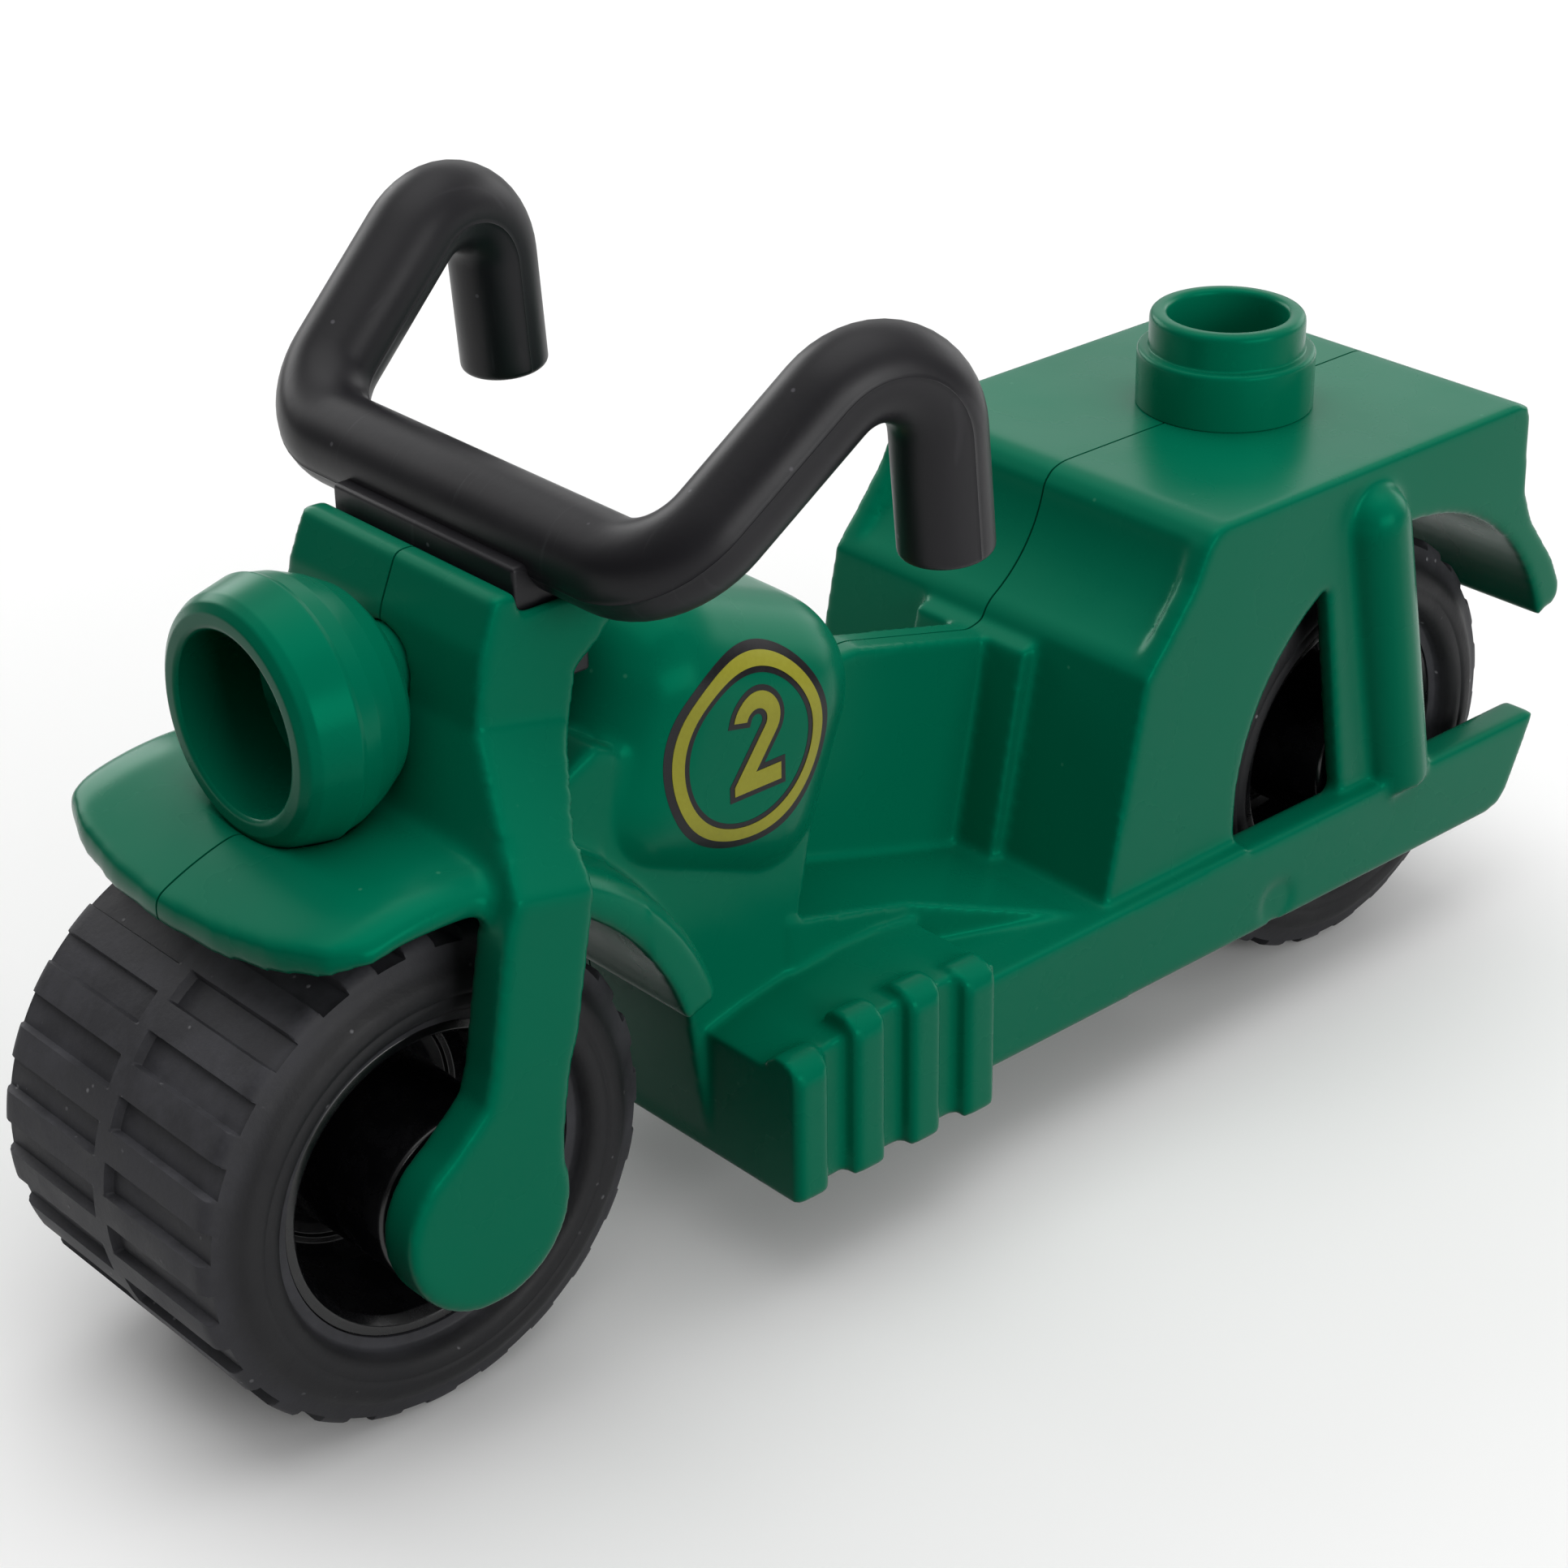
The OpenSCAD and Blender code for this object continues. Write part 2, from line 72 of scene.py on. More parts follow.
def linear(colour):
    """An sRGB hex colour as the linear RGBA that a shader works in."""
    parts = [int(colour[i:i + 2], 16) / 255 for i in (1, 3, 5)]
    return tuple(c / 12.92 if c <= 0.04045 else ((c + 0.055) / 1.055) ** 2.4 for c in parts) + (1.0,)


def add(tree, kind, inputs=None, **settings):
    """One node in a shader or geometry tree; an input is a value or another node's output."""
    made = tree.nodes.new(kind)
    for key, value in settings.items():
        setattr(made, key, value)
    for key, value in (inputs or {}).items():
        if isinstance(value, bpy.types.NodeSocket):
            tree.links.new(value, made.inputs[key])
        else:
            made.inputs[key].default_value = value
    return made


def mapped(tree, value, low, high, to_low, to_high):
    """A value between low and high carried over to the range from to_low to to_high, held at its ends."""
    return add(tree, "ShaderNodeMapRange", {"Value": value, "From Min": low, "From Max": high,
                                            "To Min": to_low, "To Max": to_high}).outputs["Result"]


def computed(tree, operation, *values):
    """The result of one Math node."""
    return add(tree, "ShaderNodeMath", dict(enumerate(values)), operation=operation).outputs[0]


def mixed(tree, share, first, second):
    """A colour between two others, each a hex colour or another node's output."""
    first, second = (linear(c) if isinstance(c, str) else c for c in (first, second))
    # the Mix node keeps its factor in input 0, its two colours in 6 and 7 and its colour out in 2
    return add(tree, "ShaderNodeMix", {0: share, 6: first, 7: second}, data_type="RGBA").outputs[2]


def noise(tree, place, size, detail=2.0, rough=0.5, bend=0.0):
    """Cloudy noise, its largest waves about size apart."""
    return add(tree, "ShaderNodeTexNoise", {"Vector": place, "Scale": 1 / size, "Detail": detail,
                                            "Roughness": rough, "Distortion": bend}).outputs["Fac"]


def new_material(name):
    """An empty material, its tree, its output node and the place of a point on the piece."""
    mat = bpy.data.materials.new(name)
    mat.use_nodes = True
    tree = mat.node_tree
    tree.nodes.clear()
    out = add(tree, "ShaderNodeOutputMaterial")
    return mat, tree, out, add(tree, "ShaderNodeTexCoord").outputs["Object"]


def surfaced(tree, out, colour, rough, more=None):
    """Gives a material its surface, from a colour, a roughness and other inputs of the shader."""
    shine = add(tree, "ShaderNodeBsdfPrincipled", {"Base Color": colour, "Roughness": rough,
                                                   **(more or {})})
    tree.links.new(shine.outputs["BSDF"], out.inputs["Surface"])


def soft_box(name, place, towards, width, height, watts):
    """A rectangular studio light that faces a point."""
    lamp = bpy.data.lights.new(name, "AREA")
    lamp.shape = "RECTANGLE"
    lamp.size = width
    lamp.size_y = height
    lamp.energy = watts
    obj = bpy.data.objects.new(name, lamp)
    obj.location = place
    obj.rotation_euler = (Vector(place) - Vector(towards)).to_track_quat("Z", "Y").to_euler()
    obj.visible_camera = False
    scene.collection.objects.link(obj)


# places and sizes in metres, power in watts
middle = (0, 0, 0.02)
soft_box("top_soft_box", (0, 0, 0.45), middle, 0.45, 0.45, 0.7)
soft_box("left_soft_box", (0.45, 0, 0.15), middle, 0.35, 0.2, 1.06)
soft_box("right_soft_box", (-0.45, 0, 0.2), middle, 0.35, 0.2, 0.74)
soft_box("back_soft_box", (0, 0.45, 0.15), middle, 0.35, 0.2, 0.44)
soft_box("corner_soft_box", (-0.35, 0.4, 0.22), middle, 0.4, 0.3, 0.3)

overhead_glow = 0.9
front_share = 0.45
wall_glow = 0.85
room = bpy.data.worlds.new("studio_room")
room.use_nodes = True
sky = room.node_tree
heading = add(sky, "ShaderNodeTexCoord")
parts = add(sky, "ShaderNodeSeparateXYZ", {"Vector": heading.outputs["Generated"]})
overhead = mapped(sky, parts.outputs["Z"], 0.0, 1.0, 0.0, overhead_glow)
towards_front = mapped(sky, parts.outputs["Y"], -0.8, 0.0, front_share, 1.0)
ray = add(sky, "ShaderNodeLightPath")
far_wall = computed(sky, "MULTIPLY", ray.outputs["Is Camera Ray"], wall_glow)
shown = computed(sky, "MAXIMUM", computed(sky, "MULTIPLY", overhead, towards_front), far_wall)
wall = sky.nodes["Background"]
wall.inputs["Color"].default_value = linear("#ffffff")
sky.links.new(shown, wall.inputs["Strength"])
scene.world = room

# painted board: almost white and matt, its tone barely uneven over the width of a hand
board_white, tree, out, spot = new_material("matt_white_board")
surfaced(tree, out, mixed(tree, noise(tree, spot, 80 * mm, 3.0), "#f2f2f1", "#fafafa"), 0.8)

table = bpy.data.meshes.new("table_board")
reach = 3.0
table.from_pydata([(-reach, -reach, 0), (reach, -reach, 0), (reach, reach, 0), (-reach, reach, 0)], [],
                  [(0, 1, 2, 3)])
table.materials.append(board_white)
floor = bpy.data.objects.new("table_board", table)
scene.collection.objects.link(floor)
floor.visible_diffuse = False

# ---------- front and rear rim ----------
# Each rim is one deep dish on both sides of a thin web, with a long hub collar for the axle.
# Injection-moulded in hard black ABS and left glossy; the tyre is snapped over it.

# the first joint is the front wheel's, the second the rear's; _hw is a half width from the middle plane
front_y = frame["joints"][0]["pos_m"][1]
rear_y = frame["joints"][1]["pos_m"][1]
axle_z = frame["joints"][0]["pos_m"][2]
hub_r = 4.75 * mm
rim_r = 8.7 * mm
rim_hw = 8.92 * mm
hub_hw = 11.35 * mm
web_hw = 1.85 * mm
web_ring_hw = 2.1 * mm
dish_foot = 2.6 * mm
axle_bore = 2.02 * mm


def eased(corners, steps=5):
    """An outline from (a, b, radius) corners, with every corner that has a radius rounded."""
    line = []
    for i, (a, b, radius) in enumerate(corners):
        here = Vector((a, b))
        if not radius:
            line.append(here)
            continue
        before = Vector(corners[i - 1][:2]) - here
        after = Vector(corners[(i + 1) % len(corners)][:2]) - here
        half = before.angle(after) / 2
        cut = min(radius / math.tan(half), 0.49 * before.length, 0.49 * after.length)
        first = here + before.normalized() * cut
        last = here + after.normalized() * cut
        for k in range(steps + 1):
            t = k / steps
            line.append(first * (1 - t) ** 2 + here * 2 * t * (1 - t) + last * t ** 2)
    return line


def turned(outline, spread, sides=128):
    """Vertices and faces of a closed outline (along, radius) turned about an axis.

    spread(along, radius, cos, sin) gives the place of a point of the outline at one angle.
    """
    verts = []
    for k in range(sides):
        angle = 2 * math.pi * k / sides
        verts += [spread(p[0], p[1], math.cos(angle), math.sin(angle)) for p in outline]
    count = len(outline)
    faces = [(k * count + i, k * count + (i + 1) % count, (k + 1) % sides * count + (i + 1) % count,
              (k + 1) % sides * count + i) for k in range(sides) for i in range(count)]
    return verts, faces


def mesh_of(name, verts, faces):
    """A bare mesh from vertices and faces."""
    data = bpy.data.meshes.new(name + "_rough")
    data.from_pydata([tuple(v) for v in verts], [], faces)
    return data


def settled(name, body, finish=None):
    """The mesh of a finished bmesh, in its material if it has one; the bmesh is freed."""
    data = bpy.data.meshes.new(name)
    body.to_mesh(data)
    body.free()
    if finish:
        data.materials.append(finish)
    return data


def closed_mesh(name, verts, faces, finish):
    """A closed mesh from vertices and faces, welded, with its faces pointing outwards."""
    body = bmesh.new()
    body.from_mesh(mesh_of(name, verts, faces))
    bmesh.ops.remove_doubles(body, verts=body.verts, dist=1e-7)
    bmesh.ops.dissolve_degenerate(body, edges=body.edges, dist=1e-8)
    bmesh.ops.recalc_face_normals(body, faces=body.faces)
    return settled(name, body, finish)


def placed(name, data, crease=40):
    """An object at the origin for a mesh, smooth except along edges sharper than crease degrees."""
    data.shade_smooth()
    data.set_sharp_from_angle(angle=math.radians(crease))
    obj = bpy.data.objects.new(name, data)
    scene.collection.objects.link(obj)
    return obj


def bumped(tree, height, strength, depth):
    """The shading normal of a skin that a height raises by up to depth."""
    return add(tree, "ShaderNodeBump", {"Height": height, "Strength": strength,
                                        "Distance": depth}).outputs["Normal"]


# hard ABS, near black and moulded against polished steel: a clear gloss, with a trace of dull dust
gloss_black, tree, out, spot = new_material("polished_black_abs")
dust = noise(tree, spot, 2.5 * mm, 6.0, 0.7)
tone = mixed(tree, mapped(tree, dust, 0.5, 0.8, 0.0, 0.35), "#09090b", "#232327")
dull = mapped(tree, dust, 0.3, 0.8, 0.16, 0.4)
skin = bumped(tree, noise(tree, spot, 1.2 * mm), 0.25, 0.012 * mm)
surfaced(tree, out, tone, dull, {"IOR": 1.53, "Normal": skin})

# outline of one rim from its outer lip, down the dish, over the web's raised ring and up the hub collar
dish = [(rim_hw, rim_r, 0.12 * mm), (rim_hw, rim_r - 0.55 * mm, 0.2 * mm),
        (rim_hw - 0.6 * mm, rim_r - 0.95 * mm, 0.3 * mm), (dish_foot, rim_r - 1.55 * mm, 0.5 * mm),
        (web_ring_hw, rim_r - 2.0 * mm, 0.15 * mm), (web_ring_hw, rim_r - 2.35 * mm, 0.1 * mm),
        (web_hw, rim_r - 2.4 * mm, 0.1 * mm), (web_hw, hub_r + 0.8 * mm, 0.4 * mm),
        (dish_foot, hub_r + 0.2 * mm, 0.5 * mm), (hub_hw, hub_r, 0.35 * mm),
        (hub_hw, axle_bore, 0.1 * mm)]
rim_outline = eased(dish + [(-x, r, e) for x, r, e in reversed(dish)])
for wheel, y in (("front", front_y), ("rear", rear_y)):
    verts, faces = turned(rim_outline, lambda x, r, c, s: (x, y + r * c, axle_z + r * s))
    name = wheel + "_dished_rim"
    rim = placed(name, closed_mesh(name, verts, faces, gloss_black))
    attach(rim, wheel + "_wheel")
    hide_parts(wheel + "_rim")

# ---------- front and rear tyre ----------
# Soft black rubber-like tyres, moulded in one piece each. Sunk pads alternate left and right of a narrow
# middle rib; they leave raised bars that run out over the shoulders.

tyre_r = 13.6 * mm
pitches = 24
pad_depth = 0.5 * mm
pad_end_r = 12.6 * mm
rib_hw = 0.55 * mm
wall_run = 0.12 * mm
# at rest the front wheel has rolled on by this much from where the rear one stands
front_rest_turn = math.radians(6.5)
pitch = 2 * math.pi / pitches
pad_half = pitch / 4
wall_turn = wall_run / tyre_r

# half of the tyre's section in millimetres: stops out along the crown, then shoulder, wall and bead
crown = [0, 0.35, 0.49, rib_hw / mm, rib_hw / mm + 0.12, 0.8, 1.4, 2.4, 3.6, 4.8, 6.0, 7.2, 8.0]
shoulder = [(8.5, 13.6), (8.8, 13.52), (9.0, 13.36), (9.14, 13.12), (9.22, 12.85), (9.34, 12.5),
            (9.6, 12.1), (9.92, 11.75), (10.08, 11.4), (10.12, 11.0), (10.12, 10.75), (10.06, 10.68),
            (10.06, 10.6), (10.1, 10.5), (10.08, 10.1), (9.96, 9.8), (9.72, 9.58), (9.4, 9.42),
            (9.05, 9.32), (8.97, 9.2), (8.97, 8.72)]
tread_line = [(x * mm, tyre_r) for x in crown] + [(x * mm, r * mm) for x, r in shoulder]
tread_line += [(4.5 * mm, rim_r + 0.02 * mm)]


def step(value):
    """A smooth rise from 0 to 1 as value goes from 0 to 1."""
    value = min(max(value, 0.0), 1.0)
    return value * value * (3 - 2 * value)


def tread_sector():
    """One pitch of the tyre at the top of the wheel, about the axle, open at its two cut ends."""
    # rows stand close together at the wall of a pad, and wider apart over its floor and over a bar
    flat = pad_half - wall_turn
    half = [t * flat for t in (0, 0.25, 0.5, 0.75, 0.9)]
    half += [flat, pad_half - wall_turn / 2, pad_half, pad_half + wall_turn / 2, pad_half + wall_turn]
    half += [pad_half + wall_turn + t * flat for t in (0.1, 0.25, 0.5, 0.75, 1)]
    angles = [-a for a in reversed(half[1:])] + half
    rows = []
    for angle in angles:
        row = []
        for way in (1, -1):
            off = abs(angle) if way > 0 else pitch / 2 - abs(angle)
            across = step((pad_half + wall_turn / 2 - off) / wall_turn)
            line = []
            for x, r in tread_line:
                sunk = across * step((x - rib_hw + wall_run / 2) / wall_run) * pad_depth
                if r > pad_end_r:
                    r = min(r, tyre_r - sunk)
                line.append((way * x, r * math.sin(angle), r * math.cos(angle)))
            row += line if way > 0 else list(reversed(line[1:]))
        rows.append(row)
    count = len(rows[0])
    verts = [v for row in rows for v in row]
    faces = [(k * count + i, k * count + (i + 1) % count, (k + 1) * count + (i + 1) % count,
              (k + 1) * count + i) for k in range(len(rows) - 1) for i in range(count)]
    return verts, faces


def flecks(tree, place, spacing, core, edge, strength):
    """Round specks, one to a cell: at full strength within core, gone at edge, in shares of spacing."""
    cells = add(tree, "ShaderNodeTexVoronoi", {"Vector": place, "Scale": 1 / spacing})
    return mapped(tree, cells.outputs["Distance"], core, edge, strength, 0.0)


# thermoplastic rubber: dark grey, dull, faintly grained, with pale dust and lint sitting on the tread
rubber, tree, out, spot = new_material("black_moulded_rubber")
haze = noise(tree, spot, 3.5 * mm, 5.0, 0.65)
# the tread holds the dust; from 9 mm out, over the shoulder, the sidewall is clean and darker
across = add(tree, "ShaderNodeSeparateXYZ", {"Vector": spot})
held = mapped(tree, computed(tree, "ABSOLUTE", across.outputs["X"]), 8.8 * mm, 9.8 * mm, 1.0, 0.1)
film_of_dust = computed(tree, "MULTIPLY", mapped(tree, haze, 0.42, 0.75, 0.45, 1.0), held)
tone = mixed(tree, film_of_dust, "#101012", "#4b4b50")
# lint gathers in patches
gather = mapped(tree, noise(tree, spot, 1.6 * mm), 0.56, 0.64, 0.0, 0.75)
specks = computed(tree, "MULTIPLY", flecks(tree, spot, 0.9 * mm, 0.08, 0.16, 1.0), gather)
dusted = mixed(tree, specks, tone, "#8b8b8e")
dull = mapped(tree, haze, 0.3, 0.8, 0.5, 0.72)
grain = noise(tree, spot, 0.35 * mm, 4.0, 0.6)
skin = bumped(tree, computed(tree, "MULTIPLY_ADD", specks, 1.2, grain), 0.5, 0.04 * mm)
surfaced(tree, out, dusted, dull, {"IOR": 1.5, "Specular IOR Level": 0.3, "Normal": skin})

# the pitches of a tyre set round its axle, welded into one ring and given their rubber
ring = bpy.data.node_groups.new("tyre_from_pitches", "GeometryNodeTree")
ring.interface.new_socket("Geometry", in_out="INPUT", socket_type="NodeSocketGeometry")
count_in = ring.interface.new_socket("Pitches", in_out="INPUT", socket_type="NodeSocketInt")
turn_in = ring.interface.new_socket("Rest turn", in_out="INPUT", socket_type="NodeSocketFloat")
place_in = ring.interface.new_socket("Axle place", in_out="INPUT", socket_type="NodeSocketVector")
ring.interface.new_socket("Geometry", in_out="OUTPUT", socket_type="NodeSocketGeometry")
given = add(ring, "NodeGroupInput")
dots = add(ring, "GeometryNodeMeshLine", {"Count": given.outputs["Pitches"], "Offset": (0, 0, 0)})
number = add(ring, "GeometryNodeInputIndex")
share = computed(ring, "DIVIDE", 2 * math.pi, given.outputs["Pitches"])
angle = computed(ring, "MULTIPLY_ADD", number.outputs[0], share, given.outputs["Rest turn"])
spin = add(ring, "ShaderNodeCombineXYZ", {"X": angle})
copies = add(ring, "GeometryNodeInstanceOnPoints", {"Points": dots.outputs["Mesh"],
                                                    "Instance": given.outputs["Geometry"],
                                                    "Rotation": spin.outputs["Vector"]})
real = add(ring, "GeometryNodeRealizeInstances", {"Geometry": copies.outputs["Instances"]})
welded = add(ring, "GeometryNodeMergeByDistance", {"Geometry": real.outputs["Geometry"],
                                                   "Distance": 0.004 * mm})
moved = add(ring, "GeometryNodeSetPosition", {"Geometry": welded.outputs["Geometry"],
                                              "Offset": given.outputs["Axle place"]})
coated = add(ring, "GeometryNodeSetMaterial", {"Geometry": moved.outputs["Geometry"],
                                               "Material": rubber})
add(ring, "NodeGroupOutput", {"Geometry": coated.outputs["Geometry"]})


def worked(data, kind, values=None, **settings):
    """The plain mesh that one modifier makes of a mesh; its helper object and modifier are gone."""
    start = bpy.data.objects.new(data.name + "_start", data)
    scene.collection.objects.link(start)
    tool = start.modifiers.new("tool", kind)
    for key, value in settings.items():
        setattr(tool, key, value)
    for identifier, value in (values or {}).items():
        tool[identifier] = value
    seen = start.evaluated_get(bpy.context.evaluated_depsgraph_get())
    made = bpy.data.meshes.new_from_object(seen)
    start.modifiers.remove(tool)
    bpy.data.objects.remove(start)
    return made


for wheel, y, rest_turn in (("front", front_y, front_rest_turn), ("rear", rear_y, 0.0)):
    data = worked(mesh_of(wheel + "_pitch", *tread_sector()), "NODES",
                  {count_in.identifier: pitches, turn_in.identifier: rest_turn,
                   place_in.identifier: (0, y, axle_z)}, node_group=ring)
    data.name = wheel + "_treaded_tyre"
    body = bmesh.new()
    body.from_mesh(data)
    bmesh.ops.recalc_face_normals(body, faces=body.faces)
    body.to_mesh(data)
    body.free()
    tyre = placed(wheel + "_treaded_tyre", data, 60)
    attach(tyre, wheel + "_wheel")
    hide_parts(wheel + "_tyre")

# ---------- front and rear axle ----------
# Plain plastic pins, pressed into the rims. They turn with the wheels in blind sockets of the two shells,
# and only a sliver shows beside each hub.

# acetal, dark grey and slightly waxy, with fine turning marks along its round
acetal, tree, out, spot = new_material("dark_grey_acetal")
rings = add(tree, "ShaderNodeTexWave", {"Vector": spot, "Scale": 1 / (3.0 * mm), "Distortion": 1.5,
                                        "Detail": 3.0}, bands_direction="X").outputs["Fac"]
tone = mixed(tree, rings, "#37373b", "#424247")
dull = mapped(tree, rings, 0.0, 1.0, 0.36, 0.5)
surfaced(tree, out, tone, dull, {"IOR": 1.48, "Normal": bumped(tree, rings, 0.3, 0.01 * mm)})
for wheel in ("front", "rear"):
    frame["nodes"][wheel + "_axle"].material_slots[0].material = acetal

# ---------- stud post ----------
# A separate green post trapped in the deck: a short drum with the building stud on top, open down the
# middle. Moulded in the same glossy ABS as the shells, from a tool with slightly softened edges.

deck_z = 34.35 * mm
stud_y = rear_y - 2 * mm
drum_r = 5.38 * mm
drum_h = 3.55 * mm
ring_r = 4.7 * mm
ring_h = 2.24 * mm
bore_r = 3.63 * mm


def green_abs(name, seed_place):
    """Glossy moulded green ABS: deep and even, a little duller in patches, with the odd fleck of dust."""
    mat, tree, out, spot = new_material(name)
    here = add(tree, "ShaderNodeMapping", {"Vector": spot, "Location": seed_place}).outputs["Vector"]
    # slow drift of tone over a finger's width, from the melt flowing through the mould
    tone = mixed(tree, noise(tree, here, 22 * mm, 3.0), "#00664a", "#016d51")
    # the odd fleck of pale dust, 0.1 to 0.2 mm across
    colour = mixed(tree, flecks(tree, here, 3.2 * mm, 0.02, 0.045, 0.5), tone, "#3f8a6c")
    dull = mapped(tree, noise(tree, here, 7 * mm, 4.0), 0.3, 0.75, 0.24, 0.33)
    # moulded skin: waves 3 mm apart and a few thousandths of a millimetre high
    skin = bumped(tree, noise(tree, here, 3 * mm), 0.3, 0.02 * mm)
    # light that glances off it has mostly passed through the coloured surface, so it stays green
    surfaced(tree, out, colour, dull, {"IOR": 1.53, "Specular IOR Level": 0.2,
                                       "Specular Tint": linear("#0cf0b0"), "Normal": skin})
    return mat


insert_green = green_abs("glossy_green_abs_insert", (0.031, 0.012, 0.007))
neck_r = 4.2 * mm
flange_r = 5.2 * mm
neck_z = -2 * mm
flange_z = -3.3 * mm
bore_floor = 0.4 * mm
post_line = eased([(flange_z, 0, 0), (flange_z, flange_r, 0.15 * mm), (neck_z, flange_r, 0.15 * mm),
                   (neck_z, neck_r, 0), (0, neck_r, 0), (0, drum_r, 0.12 * mm),
                   (drum_h, drum_r, 0.45 * mm), (drum_h, ring_r, 0.15 * mm),
                   (drum_h + ring_h, ring_r, 0.6 * mm), (drum_h + ring_h, bore_r, 0.4 * mm),
                   (bore_floor, bore_r, 0.3 * mm), (bore_floor, 0, 0)])
verts, faces = turned(post_line, lambda z, r, c, s: (r * c, stud_y + r * s, deck_z + z))
post = closed_mesh("building_stud_post", verts, faces, insert_green)
post = placed("building_stud_post", post, 50)
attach(post, "body")
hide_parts("stud_post")

# ---------- headlamp cup ----------
# An open green cup with a rolled lip, a barrel and a domed back, held in the crown by a flanged neck.
# Glossy ABS; its floor is moulded with twelve flat facets like a reflector.

lamp_z = axle_z + 23.3 * mm
mouth_r = 4.95 * mm
barrel_r = 6.95 * mm
facets = 12
cup_front = -3.5 * mm
floor_back = 3.0 * mm
facet_front = 1.5 * mm
cup_line = eased([(cup_front, mouth_r, 0.45 * mm), (cup_front, mouth_r + 0.75 * mm, 0.3 * mm),
                  (-3.2 * mm, 6.2 * mm, 0.5 * mm), (-2.7 * mm, 6.5 * mm, 0.6 * mm),
                  (-0.7 * mm, barrel_r, 0.3 * mm), (-0.4 * mm, barrel_r - 0.12 * mm, 0.2 * mm),
                  (0.6 * mm, 6.63 * mm, 0.8 * mm), (1.9 * mm, 6.1 * mm, 0.9 * mm),
                  (3.1 * mm, 5.4 * mm, 0.8 * mm), (3.9 * mm, 4.4 * mm, 0.5 * mm),
                  (3.9 * mm, 2.6 * mm, 0.1 * mm), (6.2 * mm, 2.6 * mm, 0), (6.2 * mm, 3.6 * mm, 0.1 * mm),
                  (7.6 * mm, 3.6 * mm, 0.1 * mm), (7.6 * mm, 0, 0), (floor_back, 0, 0)], 6)
# outline of the faceted floor and the smooth bore, walked from the axis outwards
floor_line = [(floor_back, 0.01 * mm), (2.95 * mm, 1.4 * mm), (2.45 * mm, 3.0 * mm),
              (2.0 * mm, 4.4 * mm), (1.75 * mm, 4.8 * mm), (1.45 * mm, mouth_r), (-1.0 * mm, mouth_r)]


def lamp_point(along, radius, c, s):
    """A point of the cup; its floor is pulled flat between facet corners."""
    if facet_front < along <= floor_back and radius < mouth_r - 0.05 * mm:
        turn = math.atan2(s, c) % (2 * math.pi / facets) - math.pi / facets
        radius *= math.cos(math.pi / facets) / math.cos(turn)
    return (radius * c, front_y + along, lamp_z + radius * s)


verts, faces = turned(floor_line + [tuple(p) for p in cup_line], lamp_point, 144)
cup = closed_mesh("headlamp_cup_shell", verts, faces, insert_green)
cup = placed("headlamp_cup_shell", cup, 20)
# the folds between the facets, which run out from the axis, stay sharp
for e in cup.data.edges:
    a, b = [cup.data.vertices[k].co - Vector((0, front_y, lamp_z)) for k in e.vertices]
    radii = [math.hypot(p.x, p.z) for p in (a, b)]
    turn = math.atan2(a.z, a.x) % (2 * math.pi / facets)
    if (min(a.y, b.y) > facet_front and max(radii) < mouth_r and abs(radii[0] - radii[1]) > 0.2 * mm
            and min(turn, 2 * math.pi / facets - turn) < 0.01):
        e.use_edge_sharp = True
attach(cup, "body")
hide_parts("headlamp_cup")

# ---------- handlebar ----------
# One bent round bar in tough satin black plastic, with a square tab under its middle that is trapped in
# the crown. A fine parting line runs the whole way round where its two mould halves met.

bar_r = 2.52 * mm
bar_margin = 0.05 * mm
bar_end_round = 0.4 * mm
parting_ridge = 0.035 * mm
bar_y = front_y + 11.5 * mm
bar_z = axle_z + 30.7 * mm
grip_bend = 3.9 * mm
crown_bend = 4.6 * mm
tab_low = Vector((-7.4 * mm, front_y + 8.24 * mm, bar_z - 7.16 * mm))
tab_high = Vector((7.4 * mm, front_y + 12.76 * mm, bar_z - 0.36 * mm))
bar_stops = [Vector((17.7 * mm, bar_y + 15.7 * mm, bar_z - 1.8 * mm)),
             Vector((17.5 * mm, bar_y + 14.5 * mm, bar_z + 12.4 * mm)),
             Vector((14.8 * mm, bar_y, bar_z))]
bar_stops += [Vector((-p.x, p.y, p.z)) for p in reversed(bar_stops)]
bar_bends = [0, grip_bend, crown_bend, crown_bend, grip_bend, 0]


def bent_path(stops, bends, gap):
    """Points along straight runs joined by round bends, about gap apart."""
    line = []
    for i, (here, radius) in enumerate(zip(stops, bends)):
        if not radius:
            line.append(here.copy())
            continue
        into = (here - stops[i - 1]).normalized()
        onto = (stops[i + 1] - here).normalized()
        swing = into.angle(onto)
        axis = into.cross(onto).normalized()
        begin = here - into * radius * math.tan(swing / 2)
        hub = begin + axis.cross(into) * radius
        count = max(6, round(radius * swing / gap))
        line += [hub + Matrix.Rotation(swing * k / count, 3, axis) @ (begin - hub)
                 for k in range(count + 1)]
    return line


